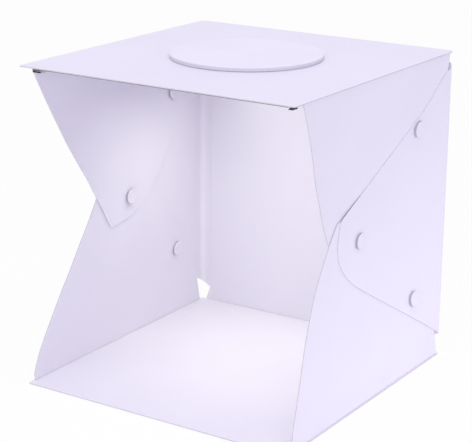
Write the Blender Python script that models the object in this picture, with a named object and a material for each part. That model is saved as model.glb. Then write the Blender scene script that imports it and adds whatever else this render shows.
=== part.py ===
"""Folding light tent: a white sheet cube, open in front, lit by a strip of LEDs.

A floor, a back and a roof are joined by creases. Each side is closed by three
flaps: one hangs from the roof, one stands on the floor and one swings from the
back. They lie on each other, bowed inwards, and round magnetic buttons hold them.
Metres, +Z up, front towards -Y. The origin is at the middle of the floor's underside.
"""

import math

import bmesh
import bpy
from mathutils import Matrix, Vector

for item in list(bpy.data.objects):
    bpy.data.objects.remove(item, do_unlink=True)

# Driving sizes of the tent
TENT_WIDTH = 0.226
TENT_DEPTH = 0.230
TENT_HEIGHT = 0.240
SHEET = 0.0008
GAP = 0.0003
LAYER_GAP = 0.0005
FRONT_CORNER_RADIUS = 0.0025
REAR_BEND_RADIUS = 0.005
REAR_CREASE_INSET = 0.009
BEND_STEPS = 5
CUT_OVERRUN = 0.002
GENTLE_CORNER = 132

# How far the side flaps bow in, and the depth over which the bow builds up
SIDE_BOW = 0.011
BOW_RISE = 0.100
BOW_POWER = 1.5

# Side flaps
FLAP_FRONT_SETBACK = 0.012
FLAP_CORNER_RADIUS = 0.006
FLAP_SWEEP_RADIUS = 0.120
FLAP_CELL = 0.016
UPPER_FLAP_SHARES = [(0.183, 0.262), (0.309, 0.470), (0.378, 0.575), (0.540, 0.550),
                     (0.840, 0.270), (0.950, 0.110)]
LOWER_FLAP_SHARES = [(0.152, 0.262), (0.226, 0.400), (0.346, 0.588), (0.540, 0.565),
                     (0.840, 0.280), (0.950, 0.110)]
GUSSET_SHARES = [(0.926, 0.923), (0.809, 0.838), (0.543, 0.684), (0.360, 0.592), (0.345, 0.478),
                 (0.420, 0.391)]
GUSSET_TOP_SHARE = 0.975
GUSSET_BOTTOM_SHARE = 0.050

# Magnetic buttons and the places they hold, as shares of the depth and the height
BUTTON_RADIUS = 0.006
BUTTON_HEIGHT = 0.002
BUTTON_EDGE_RADIUS = 0.0006
MAGNET_RADIUS = 0.004
MAGNET_THICKNESS = 0.001
UPPER_BUTTON_SHARES = (0.785, 0.781)
FRONT_BUTTON_SHARES = (0.483, 0.504)
LOWER_BUTTON_SHARES = (0.804, 0.233)
ROUND_SIDES = 24
EDGE_STEPS = 2

# Camera opening in the roof and the round cover that closes it
OPENING_RADIUS = 0.050
OPENING_SETBACK = 0.120
OPENING_SIDES = 48
COVER_OVERLAP = 0.008
COVER_THICKNESS = 0.003
COVER_EDGE_RADIUS = 0.0006
COVER_RIM_WALL = 0.0012
COVER_RIM_DEPTH = 0.0025
COVER_RIM_CLEARANCE = 0.0005

# Strip of LEDs under the roof's front edge
STRIP_LENGTH_SHARE = 0.870
STRIP_WIDTH = 0.005
STRIP_SETBACK = 0.0065
STRIP_SHIFT_SHARE = 0.024
TAPE_THICKNESS = 0.0005
TAPE_MARGIN = 0.0005
BOARD_THICKNESS = 0.001
LED_COUNT = 22
LED_LENGTH = 0.0035
LED_WIDTH = 0.0028
LED_HEIGHT = 0.0008
SOCKET_WIDTH = 0.0078
SOCKET_HEIGHT = 0.0028
SOCKET_DEPTH = 0.0075
SOCKET_SETBACK = 0.001
SOCKET_WALL = 0.0004
SOCKET_CORNER = 0.0006
TONGUE_THICKNESS = 0.0006
TONGUE_RECESS = 0.0008
TONGUE_SIDE_CLEARANCE = 0.0009
CLIP_LENGTH = 0.004
CLIP_DEPTH = 0.006
CLIP_OVERHANG = 0.0012
CLIP_WALL = 0.0008

HALF_WIDTH = TENT_WIDTH / 2
STRIP_LENGTH = STRIP_LENGTH_SHARE * TENT_WIDTH
STRIP_SHIFT = STRIP_SHIFT_SHARE * TENT_WIDTH
HALF_DEPTH = TENT_DEPTH / 2
FRONT_Y = -HALF_DEPTH
BEND_END_Y = HALF_DEPTH - REAR_BEND_RADIUS
BEND_LENGTH = math.pi / 2 * REAR_BEND_RADIUS
REAR_CREASE_X = HALF_WIDTH - REAR_CREASE_INSET
FLAT_LENGTH = REAR_CREASE_INSET - REAR_BEND_RADIUS - GAP
GUSSET_CREASE = BEND_END_Y + BEND_LENGTH + FLAT_LENGTH
FLAP_REAR_Y = BEND_END_Y - 2 * GAP
ROOF_UNDERSIDE = TENT_HEIGHT - SHEET
LAYER = SHEET + LAYER_GAP
FLOOR_HINGE_Z = SHEET + GAP + SHEET / 2
ROOF_HINGE_Z = ROOF_UNDERSIDE - GAP - SHEET / 2


def material(name, colour, roughness, metallic=0.0):
    """A Principled material of one colour."""
    made = bpy.data.materials.new(name)
    made.use_nodes = True
    shader = made.node_tree.nodes["Principled BSDF"]
    shader.inputs["Base Color"].default_value = (*colour, 1.0)
    shader.inputs["Roughness"].default_value = roughness
    shader.inputs["Metallic"].default_value = metallic
    return made


def finish(bm, name, finish_material, parent=None, smooth=True):
    """Turn a mesh in world coordinates into a named object under its hinge."""
    bmesh.ops.recalc_face_normals(bm, faces=bm.faces)
    mesh = bpy.data.meshes.new(name)
    bm.to_mesh(mesh)
    bm.free()
    mesh.materials.append(finish_material)
    if smooth:
        mesh.shade_smooth()
        mesh.set_sharp_from_angle(angle=math.radians(30))
    made = bpy.data.objects.new(name, mesh)
    bpy.context.collection.objects.link(made)
    if parent is not None:
        made.parent = parent
        made.matrix_parent_inverse = parent.matrix_world.inverted()
    return made


def hinge(name, place, parent=None):
    """An empty on a hinge's axis, which carries the pieces that turn about it."""
    made = bpy.data.objects.new(name, None)
    bpy.context.collection.objects.link(made)
    made.location = place
    bpy.context.view_layer.update()
    if parent is not None:
        made.parent = parent
        made.matrix_parent_inverse = parent.matrix_world.inverted()
        bpy.context.view_layer.update()
    return made


def rounded_outline(points, radius, steps=4):
    """A closed outline with an arc at each corner, a long one where the edge turns little."""
    rounded = []
    count = len(points)
    for i, corner in enumerate(points):
        here = Vector(corner[:2])
        before = Vector(points[i - 1][:2]) - here
        after = Vector(points[(i + 1) % count][:2]) - here
        half = before.angle(after) / 2
        gentle = 2 * half > math.radians(GENTLE_CORNER)
        limit = corner[2] if len(corner) > 2 else (FLAP_SWEEP_RADIUS if gentle else radius)
        reach = min(limit / math.tan(half), before.length * 0.45, after.length * 0.45)
        size = reach * math.tan(half)
        if size < GAP:
            rounded.append(here)
            continue
        start = here + before.normalized() * reach
        end = here + after.normalized() * reach
        towards = (before.normalized() + after.normalized()).normalized()
        centre = here + towards * (size / math.sin(half))
        first = start - centre
        last = end - centre
        turn = first.angle_signed(last)
        for k in range(steps + 1):
            spoke = first.copy()
            spoke.rotate(Matrix.Rotation(-turn * k / steps, 2))
            rounded.append(centre + spoke)
    return rounded


def plate(outline, low, high):
    """A flat plate from an outline in X and Y, between two heights."""
    bm = bmesh.new()
    corners = [bm.verts.new((p.x, p.y, low)) for p in outline]
    face = bm.faces.new(corners)
    raised = bmesh.ops.extrude_face_region(bm, geom=[face])["geom"]
    lifted = [v for v in raised if isinstance(v, bmesh.types.BMVert)]
    bmesh.ops.translate(bm, verts=lifted, vec=(0, 0, high - low))
    return bm


def sheet_outline():
    """Floor and roof: tight corners in front and rounder ones behind."""
    return rounded_outline([
        (-HALF_WIDTH, FRONT_Y, FRONT_CORNER_RADIUS),
        (HALF_WIDTH, FRONT_Y, FRONT_CORNER_RADIUS),
        (HALF_WIDTH, HALF_DEPTH, REAR_BEND_RADIUS),
        (-HALF_WIDTH, HALF_DEPTH, REAR_BEND_RADIUS),
    ], REAR_BEND_RADIUS)


def bow(y, z):
    """How far a side sheet stands in from its hinge plane at a depth and a height."""
    up = min(max(z / TENT_HEIGHT, 0), 1)
    behind = max(BEND_END_Y - y, 0)
    rise = math.sin(math.pi / 2 * min(behind / BOW_RISE, 1))
    return SIDE_BOW * math.sin(math.pi * up) ** BOW_POWER * rise


def wrapped(y, z, layer, depth):
    """A side flap's point in plan: bowed along the side, then round the rear bend."""
    if y <= BEND_END_Y:
        return HALF_WIDTH - layer * LAYER - bow(y, z) - depth, y
    angle = min((y - BEND_END_Y) / REAR_BEND_RADIUS, math.pi / 2)
    straight = max(y - BEND_END_Y - BEND_LENGTH, 0)
    radius = REAR_BEND_RADIUS - depth
    x = HALF_WIDTH - REAR_BEND_RADIUS + radius * math.cos(angle) - straight
    return x, BEND_END_Y + radius * math.sin(angle)


def side_sheet(outline, side, layer, hinge_edge):
    """A side flap: an unrolled outline, cut into cells, bowed, bent and thickened."""
    bm = bmesh.new()
    bm.faces.new([bm.verts.new((0, p.x, p.y)) for p in outline])
    depths = [p.x for p in outline]
    heights = [p.y for p in outline]
    for axis, values in ((1, depths), (2, heights)):
        low, high = min(values), max(values)
        cells = max(2, round((high - low) / FLAP_CELL))
        normal = Vector((0, 1, 0)) if axis == 1 else Vector((0, 0, 1))
        places = [low + (high - low) * k / cells for k in range(1, cells)]
        if axis == 1 and high > BEND_END_Y:
            places = [v for v in places if v < BEND_END_Y - FLAP_CELL / 4]
            places += [BEND_END_Y + BEND_LENGTH * k / BEND_STEPS for k in range(BEND_STEPS + 1)]
        for place in places:
            point = normal * place
            everything = bm.verts[:] + bm.edges[:] + bm.faces[:]
            bmesh.ops.bisect_plane(bm, geom=everything, plane_co=point, plane_no=normal,
                                   dist=SHEET / 1000)
    bmesh.ops.remove_doubles(bm, verts=bm.verts, dist=GAP / 10)
    copy = bmesh.ops.extrude_face_region(bm, geom=bm.faces[:])["geom"]
    inner = {v for v in copy if isinstance(v, bmesh.types.BMVert)}
    for v in bm.verts:
        x, y = wrapped(v.co.y, v.co.z, layer, SHEET if v in inner else 0)
        v.co.x, v.co.y = side * x, y
    along, value = hinge_edge
    rim = [e for e in bm.edges
           if all(abs(v.co[along] - value) < GAP / 10 for v in e.verts)
           and len({v in inner for v in e.verts}) == 1]
    bmesh.ops.bevel(bm, geom=rim, offset=SHEET * 0.42, segments=2, affect="EDGES",
                    profile=0.5, clamp_overlap=True)
    return bm


def spun(profile, sides):
    """A closed turned solid about Z from a profile of radius and height."""
    bm = bmesh.new()
    rings = []
    for radius, height in profile:
        if radius == 0:
            rings.append([bm.verts.new((0, 0, height))])
            continue
        ring = []
        for k in range(sides):
            angle = 2 * math.pi * k / sides
            ring.append(bm.verts.new((radius * math.cos(angle), radius * math.sin(angle), height)))
        rings.append(ring)
    for a, b in zip(rings, rings[1:]):
        if len(a) == 1 and len(b) == 1:
            continue
        for k in range(sides):
            n = (k + 1) % sides
            corners = [a[k % len(a)], a[n % len(a)], b[n % len(b)], b[k % len(b)]]
            distinct = list(dict.fromkeys(corners))
            if len(distinct) > 2:
                bm.faces.new(distinct)
    if len(rings[0]) > 1:
        for k in range(sides):
            n = (k + 1) % sides
            bm.faces.new([rings[-1][k], rings[-1][n], rings[0][n], rings[0][k]])
    return bm


def box(low, high):
    """A plain block between two corners."""
    bm = bmesh.new()
    bmesh.ops.create_cube(bm, size=1)
    centre = (Vector(low) + Vector(high)) / 2
    extent = Vector(high) - Vector(low)
    bmesh.ops.scale(bm, vec=extent, verts=bm.verts)
    bmesh.ops.translate(bm, vec=centre, verts=bm.verts)
    return bm


def cut(target, cutter):
    """Take a cutter out of a piece and keep the cutter hidden."""
    cutter.hide_render = True
    cutter.display_type = "WIRE"
    carve = target.modifiers.new("cut", "BOOLEAN")
    carve.operation = "DIFFERENCE"
    carve.solver = "EXACT"
    carve.object = cutter


white_sheet = material("white sheet", (0.86, 0.85, 0.89), 0.42)
cover_white = material("cover white", (0.87, 0.86, 0.90), 0.36)
button_white = material("button white", (0.82, 0.81, 0.86), 0.32)
magnet_nickel = material("magnet nickel", (0.62, 0.61, 0.58), 0.25, 1.0)
board_white = material("board white", (0.80, 0.80, 0.78), 0.45)
tape_white = material("tape white", (0.74, 0.74, 0.72), 0.70)
socket_steel = material("socket steel", (0.42, 0.42, 0.43), 0.35, 1.0)
black_plastic = material("black plastic", (0.03, 0.03, 0.035), 0.45)


def make_floor():
    """The floor, on which the object to be photographed stands."""
    return finish(plate(sheet_outline(), 0, SHEET), "floor_panel", white_sheet)


def make_back(back_hinge):
    """The back, notched at its corners, between the gussets' two upright creases."""
    low, high = SHEET + GAP, ROOF_UNDERSIDE - GAP
    notch_low = GUSSET_BOTTOM_SHARE * TENT_HEIGHT
    notch_high = GUSSET_TOP_SHARE * TENT_HEIGHT
    ear = HALF_WIDTH - REAR_BEND_RADIUS
    outline = [(-ear, low), (ear, low), (REAR_CREASE_X, notch_low), (REAR_CREASE_X, notch_high),
               (ear, high), (-ear, high), (-REAR_CREASE_X, notch_high), (-REAR_CREASE_X, notch_low)]
    bm = plate([Vector(point) for point in outline], -HALF_DEPTH, -HALF_DEPTH + SHEET)
    bmesh.ops.transform(bm, matrix=Matrix.Rotation(math.pi / 2, 4, "X"), verts=bm.verts)
    return finish(bm, "back_panel", white_sheet, back_hinge)


def make_roof(roof_hinge):
    """The roof, with the round opening that a camera looks down through."""
    roof = finish(plate(sheet_outline(), ROOF_UNDERSIDE, TENT_HEIGHT), "roof_panel",
                  white_sheet, roof_hinge)
    reach = SHEET + 2 * CUT_OVERRUN
    profile = [(0, -reach), (OPENING_RADIUS, -reach), (OPENING_RADIUS, reach), (0, reach)]
    bm = spun(profile, OPENING_SIDES)
    bmesh.ops.translate(bm, verts=bm.verts, vec=opening_centre())
    cut(roof, finish(bm, "opening_cutter", white_sheet))
    return roof


def opening_centre():
    """The middle of the camera opening, on top of the roof."""
    return Vector((0, FRONT_Y + OPENING_SETBACK, TENT_HEIGHT))


def make_cover(cover_rest):
    """The round cover, which lies on the roof with its rim inside the opening."""
    base = GAP
    top = base + COVER_THICKNESS
    outer = OPENING_RADIUS + COVER_OVERLAP
    rim_outer = OPENING_RADIUS - COVER_RIM_CLEARANCE
    rim_inner = rim_outer - COVER_RIM_WALL
    rim_foot = base - SHEET - COVER_RIM_DEPTH
    profile = [(0, top), (outer - COVER_EDGE_RADIUS, top)]
    for k in range(1, EDGE_STEPS + 1):
        angle = math.pi / 2 * k / EDGE_STEPS
        profile.append((outer - COVER_EDGE_RADIUS * (1 - math.sin(angle)),
                        top - COVER_EDGE_RADIUS * (1 - math.cos(angle))))
    profile += [(outer, base), (rim_outer, base), (rim_outer, rim_foot), (rim_inner, rim_foot),
                (rim_inner, base), (0, base)]
    bm = spun(profile, OPENING_SIDES)
    bmesh.ops.translate(bm, verts=bm.verts, vec=opening_centre())
    return finish(bm, "opening_cover", cover_white, cover_rest)


def hanging_outline(shares, hinge_z, rising):
    """A roof or floor flap's outline in Y and Z, from its hinge and its shares."""
    sign = 1 if rising else -1
    corners = [(FRONT_Y + FLAP_FRONT_SETBACK, hinge_z, GAP)]
    for along, reach in shares:
        corners.append((FRONT_Y + along * TENT_DEPTH, hinge_z + sign * reach * TENT_HEIGHT))
    corners.append((FLAP_REAR_Y, hinge_z, GAP))
    return rounded_outline(corners, FLAP_CORNER_RADIUS)


def make_flap(side, label, rising, carrier):
    """A flap that hangs from the roof or stands on the floor."""
    shares = LOWER_FLAP_SHARES if rising else UPPER_FLAP_SHARES
    edge = SHEET + GAP if rising else ROOF_UNDERSIDE - GAP
    layer = 1 if rising else 2
    outline = hanging_outline(shares, edge, rising)
    bm = side_sheet(outline, side, layer, (2, edge))
    kind = "lower" if rising else "upper"
    return finish(bm, f"{kind}_flap_{label}", white_sheet, carrier)


def make_gusset(side, label, carrier):
    """The outer flap, which swings from the back, bends round the corner and closes over the other two."""
    corners = [(GUSSET_CREASE, GUSSET_TOP_SHARE * TENT_HEIGHT, GAP)]
    for along, up in GUSSET_SHARES:
        corners.append((FRONT_Y + along * TENT_DEPTH, up * TENT_HEIGHT))
    corners.append((GUSSET_CREASE, GUSSET_BOTTOM_SHARE * TENT_HEIGHT, GAP))
    crease = (0, side * (REAR_CREASE_X + GAP))
    bm = side_sheet(rounded_outline(corners, FLAP_CORNER_RADIUS), side, 0, crease)
    return finish(bm, f"rear_gusset_{label}", white_sheet, carrier)


def button_frame(side, shares, layer, outwards):
    """A matrix on a flap's face, its Z away from the sheet, and the place's height."""
    y = FRONT_Y + shares[0] * TENT_DEPTH
    z = shares[1] * TENT_HEIGHT
    step = FLAP_CELL / 4
    slope_y = (bow(y + step, z) - bow(y - step, z)) / (2 * step)
    slope_z = (bow(y, z + step) - bow(y, z - step)) / (2 * step)
    outer_face = HALF_WIDTH - layer * LAYER - bow(y, z)
    face = outer_face + GAP if outwards else outer_face - SHEET - GAP
    away = Vector((side, slope_y, slope_z)).normalized()
    if not outwards:
        away = -away
    turn = away.to_track_quat("Z", "Y").to_matrix().to_4x4()
    return Matrix.Translation((side * face, y, z)) @ turn


def make_button(name, frame, carrier):
    """A round button: a hollow cap that is bonded to the sheet over a magnet."""
    pocket_radius = MAGNET_RADIUS + GAP
    pocket_depth = MAGNET_THICKNESS + GAP
    profile = [(0, BUTTON_HEIGHT), (BUTTON_RADIUS - BUTTON_EDGE_RADIUS, BUTTON_HEIGHT)]
    for k in range(1, EDGE_STEPS + 1):
        angle = math.pi / 2 * k / EDGE_STEPS
        profile.append((BUTTON_RADIUS - BUTTON_EDGE_RADIUS * (1 - math.sin(angle)),
                        BUTTON_HEIGHT - BUTTON_EDGE_RADIUS * (1 - math.cos(angle))))
    profile += [(BUTTON_RADIUS, 0), (pocket_radius, 0), (pocket_radius, pocket_depth),
                (0, pocket_depth)]
    cap = spun(profile, ROUND_SIDES)
    bmesh.ops.transform(cap, matrix=frame, verts=cap.verts)
    finish(cap, name, button_white, carrier)
    disc = spun([(0, MAGNET_THICKNESS), (MAGNET_RADIUS, MAGNET_THICKNESS),
                 (MAGNET_RADIUS, 0), (0, 0)], ROUND_SIDES)
    bmesh.ops.transform(disc, matrix=frame, verts=disc.verts)
    finish(disc, f"{name}_magnet", magnet_nickel, carrier)


def make_strip(roof_hinge):
    """The LED board on its tape, with a socket at one end and a clip at the other."""
    middle = STRIP_SHIFT
    left, right = middle - STRIP_LENGTH / 2, middle + STRIP_LENGTH / 2
    front, rear = FRONT_Y + STRIP_SETBACK, FRONT_Y + STRIP_SETBACK + STRIP_WIDTH
    tape_top = ROOF_UNDERSIDE - GAP
    tape_foot = tape_top - TAPE_THICKNESS
    finish(box((left + TAPE_MARGIN, front + TAPE_MARGIN, tape_foot),
               (right - TAPE_MARGIN, rear - TAPE_MARGIN, tape_top)),
           "led_strip_tape", tape_white, roof_hinge, smooth=False)
    board_top = tape_foot - GAP
    board_foot = board_top - BOARD_THICKNESS
    bm = box((left, front, board_foot), (right, rear, board_top))
    pitch = STRIP_LENGTH / (LED_COUNT + 0.5)
    centre_y = (front + rear) / 2
    cuts = [(Vector((0, 1, 0)), centre_y - LED_WIDTH / 2), (Vector((0, 1, 0)), centre_y + LED_WIDTH / 2)]
    for k in range(LED_COUNT):
        centre = middle + (k - (LED_COUNT - 1) / 2) * pitch
        cuts += [(Vector((1, 0, 0)), centre - LED_LENGTH / 2), (Vector((1, 0, 0)), centre + LED_LENGTH / 2)]
    for normal, value in cuts:
        under = [f for f in bm.faces if f.normal.z < -0.5]
        geom = list({v for f in under for v in f.verts}) + list({e for f in under for e in f.edges}) + under
        bmesh.ops.bisect_plane(bm, geom=geom, plane_co=normal * value, plane_no=normal, dist=GAP / 1000)
        bm.normal_update()
    chips = []
    for f in bm.faces:
        at = f.calc_center_median()
        across = (at.x - middle) / pitch + (LED_COUNT - 1) / 2
        near_centre = abs(across - round(across)) * pitch < LED_LENGTH / 4 and 0 <= round(across) < LED_COUNT
        if f.normal.z < -0.5 and near_centre and abs(at.y - centre_y) < LED_WIDTH / 4:
            chips.append(f)
    for f in chips:
        grown = bmesh.ops.extrude_face_region(bm, geom=[f])["geom"]
        bmesh.ops.translate(bm, verts=[v for v in grown if isinstance(v, bmesh.types.BMVert)],
                            vec=(0, 0, -LED_HEIGHT))
    bmesh.ops.delete(bm, geom=[f for f in chips if f.is_valid], context="FACES_ONLY")
    finish(bm, "led_board", board_white, roof_hinge, smooth=False)

    socket_front = FRONT_Y + SOCKET_SETBACK
    shell_right = left - GAP
    shell_left = shell_right - SOCKET_WIDTH
    shell_top = ROOF_UNDERSIDE - GAP
    shell_foot = shell_top - SOCKET_HEIGHT
    outline = rounded_outline([(shell_left, shell_foot), (shell_right, shell_foot),
                               (shell_right, shell_top), (shell_left, shell_top)], SOCKET_CORNER, 3)
    bore = rounded_outline([(shell_left + SOCKET_WALL, shell_foot + SOCKET_WALL),
                            (shell_right - SOCKET_WALL, shell_foot + SOCKET_WALL),
                            (shell_right - SOCKET_WALL, shell_top - SOCKET_WALL),
                            (shell_left + SOCKET_WALL, shell_top - SOCKET_WALL)],
                           SOCKET_CORNER - SOCKET_WALL / 2, 3)
    bm = bmesh.new()
    bottom = socket_front + SOCKET_DEPTH - SOCKET_WALL
    rings = [(outline, socket_front), (bore, socket_front), (bore, bottom)]
    made = [[bm.verts.new((p.x, y, p.y)) for p in ring] for ring, y in rings]
    rear_ring = [bm.verts.new((p.x, socket_front + SOCKET_DEPTH, p.y)) for p in outline]
    loop = [rear_ring] + made
    for a, b in zip(loop, loop[1:]):
        for k in range(len(a)):
            n = (k + 1) % len(a)
            bm.faces.new([a[k], a[n], b[n], b[k]])
    bm.faces.new(rear_ring)
    bm.faces.new(made[-1])
    finish(bm, "usb_socket_shell", socket_steel, roof_hinge)
    tongue_top = (shell_top + shell_foot + TONGUE_THICKNESS) / 2
    finish(box((shell_left + SOCKET_WALL + TONGUE_SIDE_CLEARANCE, socket_front + TONGUE_RECESS,
                tongue_top - TONGUE_THICKNESS),
               (shell_right - SOCKET_WALL - TONGUE_SIDE_CLEARANCE, bottom - GAP, tongue_top)),
           "usb_socket_tongue", black_plastic, roof_hinge, smooth=False)

    clip_front = rear - CLIP_DEPTH
    clip_left = right + GAP
    clip_top = ROOF_UNDERSIDE - GAP
    clip_foot = board_foot - GAP - CLIP_WALL
    profile = [(clip_left, clip_top), (clip_left + CLIP_LENGTH, clip_top),
               (clip_left + CLIP_LENGTH, clip_foot), (right - CLIP_OVERHANG, clip_foot),
               (right - CLIP_OVERHANG, clip_foot + CLIP_WALL), (clip_left, clip_foot + CLIP_WALL)]
    bm = bmesh.new()
    face = bm.faces.new([bm.verts.new((x, clip_front, z)) for x, z in profile])
    grown = bmesh.ops.extrude_face_region(bm, geom=[face])["geom"]
    bmesh.ops.translate(bm, verts=[v for v in grown if isinstance(v, bmesh.types.BMVert)],
                        vec=(0, CLIP_DEPTH, 0))
    finish(bm, "led_strip_end_clip", black_plastic, roof_hinge, smooth=False)


make_floor()
back_hinge = hinge("back_hinge", (0, HALF_DEPTH - SHEET / 2, FLOOR_HINGE_Z))
make_back(back_hinge)
roof_hinge = hinge("roof_hinge", (0, HALF_DEPTH - SHEET / 2, TENT_HEIGHT - SHEET / 2), back_hinge)
make_roof(roof_hinge)
make_cover(hinge("cover_rest", opening_centre(), roof_hinge))
make_strip(roof_hinge)

for side, label in ((-1, "left"), (1, "right")):
    upper_x = side * (HALF_WIDTH - 2 * LAYER - SHEET / 2)
    lower_x = side * (HALF_WIDTH - LAYER - SHEET / 2)
    gusset_x = side * (REAR_CREASE_X + GAP + SHEET / 2)
    upper_hinge = hinge(f"upper_flap_hinge_{label}", (upper_x, 0, ROOF_HINGE_Z), roof_hinge)
    lower_hinge = hinge(f"lower_flap_hinge_{label}", (lower_x, 0, FLOOR_HINGE_Z))
    gusset_hinge = hinge(f"gusset_hinge_{label}", (gusset_x, HALF_DEPTH - SHEET / 2, 0), back_hinge)
    make_flap(side, label, False, upper_hinge)
    make_flap(side, label, True, lower_hinge)
    make_gusset(side, label, gusset_hinge)
    for place, shares, inner_layer, inner_hinge in (
        ("upper", UPPER_BUTTON_SHARES, 2, upper_hinge),
        ("front", FRONT_BUTTON_SHARES, 2, upper_hinge),
        ("lower", LOWER_BUTTON_SHARES, 1, lower_hinge),
    ):
        outside = button_frame(side, shares, 0, True)
        make_button(f"gusset_button_{place}_{label}", outside, gusset_hinge)
        inside = button_frame(side, shares, inner_layer, False)
        make_button(f"flap_button_{place}_{label}", inside, inner_hinge)
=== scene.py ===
"""Dress the folding light tent: one white sheet folded into a cube, lit by a strip of LEDs."""

import math

import bmesh
import bpy
from mathutils import Matrix, Vector


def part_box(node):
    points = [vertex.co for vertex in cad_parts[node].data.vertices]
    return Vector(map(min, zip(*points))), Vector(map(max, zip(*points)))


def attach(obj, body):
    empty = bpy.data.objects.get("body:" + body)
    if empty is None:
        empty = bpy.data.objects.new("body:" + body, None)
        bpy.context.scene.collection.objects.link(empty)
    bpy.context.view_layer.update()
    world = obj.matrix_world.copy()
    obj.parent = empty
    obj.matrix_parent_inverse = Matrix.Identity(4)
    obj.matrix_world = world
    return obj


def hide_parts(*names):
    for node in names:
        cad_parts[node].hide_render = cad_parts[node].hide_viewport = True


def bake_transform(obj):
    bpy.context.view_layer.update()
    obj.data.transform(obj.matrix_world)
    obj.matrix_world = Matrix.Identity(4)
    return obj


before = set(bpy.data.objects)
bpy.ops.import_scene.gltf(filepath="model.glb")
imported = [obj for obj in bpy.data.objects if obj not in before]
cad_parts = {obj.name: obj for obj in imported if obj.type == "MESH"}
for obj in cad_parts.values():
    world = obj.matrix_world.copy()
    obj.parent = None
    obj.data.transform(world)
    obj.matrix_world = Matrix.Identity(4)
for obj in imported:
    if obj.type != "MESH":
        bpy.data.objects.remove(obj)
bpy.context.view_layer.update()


# Floor: white polypropylene sheet, 0.8 mm thick and die-cut, with a satin grain
# from the roller that drew it. The whole tent is cut from this sheet, and the
# floor is the part that lies on the table.
SHEET_THICKNESS = 0.0008
SHEET_GAP = 0.0003
TENT_DEPTH = 0.230
TENT_HEIGHT = 0.240
HALF_WIDTH = 0.113
HALF_DEPTH = TENT_DEPTH / 2
FRONT_CORNER_RADIUS = 0.0025
REAR_BEND_RADIUS = 0.005
SHEET_EDGE_ROUNDING = 0.0002
SHEET_WHITE = (0.825, 0.805, 0.900)
SHEET_SHADE = (0.805, 0.785, 0.882)
STRESS_WHITE = (0.87, 0.855, 0.91)
SHEET_ROUGHNESS = 0.40
GRAIN_SCALE = 1500
CLOUD_SCALE = 11
DRAW_LINE_STRETCH = (3, 260, 260)
CREASE_HALF_WIDTH = 0.0012
CREASE_WHITENING = 0.4
CREASE_SINK = 0.5
SHEET_BUMP_DEPTH = 0.00012
# Colours of the sheet's cut rims: painted shade, darker than the faces.
EDGE_SHADE_PALE = (0.68, 0.665, 0.71)
EDGE_SHADE_DARK = (0.60, 0.585, 0.63)


class Shade:
    """A value in a material, on which plain arithmetic adds its Math nodes."""

    def __init__(self, finish, socket):
        self.finish = finish
        self.socket = socket

    def work(self, operation, first, second):
        return self.finish.node("ShaderNodeMath", {"operation": operation}, {0: first, 1: second})

    def __add__(self, other):
        return self.work("ADD", self, other)

    def __sub__(self, other):
        return self.work("SUBTRACT", self, other)

    def __rsub__(self, other):
        return self.work("SUBTRACT", other, self)

    def __mul__(self, other):
        return self.work("MULTIPLY", self, other)

    def __abs__(self):
        return self.work("ABSOLUTE", self, 0)

    def rise(self, low, high):
        """0 below low, 1 above high, and smooth between."""
        return self.finish.node("ShaderNodeMapRange", {"interpolation_type": "SMOOTHSTEP"},
                                {"Value": self, "From Min": low, "From Max": high})


class Finish:
    """A material in the making, with its own shader and the object's coordinates."""

    def __init__(self, name, metallic=0.0):
        self.material = bpy.data.materials.new(name)
        self.material.use_nodes = True
        self.nodes = self.material.node_tree.nodes
        self.links = self.material.node_tree.links
        self.shader = self.nodes["Principled BSDF"]
        self.shader.inputs["Metallic"].default_value = metallic
        self.place = self.node("ShaderNodeTexCoord", {}, {}, "Object")
        self.across = [self.node("ShaderNodeSeparateXYZ", {}, {"Vector": self.place}, k)
                       for k in range(3)]

    def node(self, kind, settings, values, output=0):
        """Add a node, set how it works, then set or link its sockets."""
        made = self.nodes.new(kind)
        for name, setting in settings.items():
            setattr(made, name, setting)
        for name, value in values.items():
            self.put(made.inputs[name], value)
        return Shade(self, made.outputs[output])

    def put(self, socket, value):
        """Link a shade to a socket, or write a plain value there."""
        if isinstance(value, Shade):
            self.links.new(value.socket, socket)
        elif hasattr(value, "__len__") and len(value) == 3 and socket.type == "RGBA":
            socket.default_value = (*value, 1.0)
        else:
            socket.default_value = value

    def noise(self, scale, detail=2.0, place=None):
        """Soft noise, by default on the object's own coordinates."""
        return self.node("ShaderNodeTexNoise", {},
                         {"Vector": place or self.place, "Scale": scale, "Detail": detail})

    def stretched(self, scale):
        """The object's coordinates, scaled by a different number along each axis."""
        return self.node("ShaderNodeMapping", {}, {"Vector": self.place, "Scale": scale})

    def mix(self, low, high, share):
        """A colour that goes from low to high as share goes from 0 to 1."""
        return self.node("ShaderNodeMix", {"data_type": "RGBA"}, {0: share, 6: low, 7: high}, 2)

    def colour(self, value):
        self.put(self.shader.inputs["Base Color"], value)

    def mottle(self, dark, pale, scale, detail=2.0, low=0.3, high=0.7):
        """Let the colour drift softly between two tones."""
        self.colour(self.mix(dark, pale, self.noise(scale, detail).rise(low, high)))

    def rough(self, value):
        self.put(self.shader.inputs["Roughness"], value)

    def bump(self, height, depth):
        """Raise the surface by up to depth metres where the height is 1."""
        raised = self.node("ShaderNodeBump", {}, {"Height": height, "Distance": depth})
        self.put(self.shader.inputs["Normal"], raised)


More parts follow.
